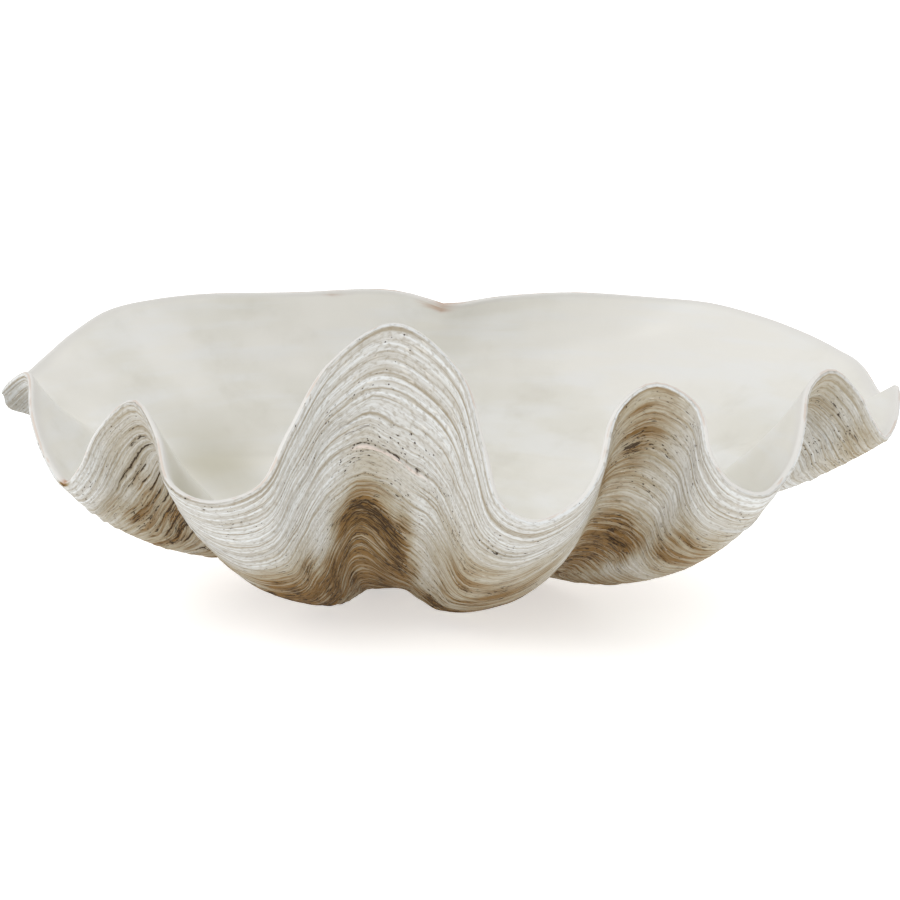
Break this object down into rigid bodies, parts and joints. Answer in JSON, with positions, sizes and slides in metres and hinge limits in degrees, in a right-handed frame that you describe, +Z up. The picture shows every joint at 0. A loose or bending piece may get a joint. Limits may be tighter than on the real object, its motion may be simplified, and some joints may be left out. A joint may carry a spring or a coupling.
{
  "type": "giant clam half shell",
  "caption": "One valve of a giant clam lying on its belly, a thick bowl with deep scalloped folds along its free edge, growth ridges outside and a smooth hollow inside.",
  "frame": {"origin": "bottom centre of the bounding box, on the surface the shell rests on", "axes": "+X along the shell's length to the right, +Y from the scalloped edge back to the hinge edge, +Z up out of the bowl"},
  "size_m": [0.7488, 0.4946, 0.28],
  "materials": {
    "shell": "satin inside, chalky outside"
  },
  "bodies": {
    "root": {"shell": "shell"}
  },
  "joints": []
}
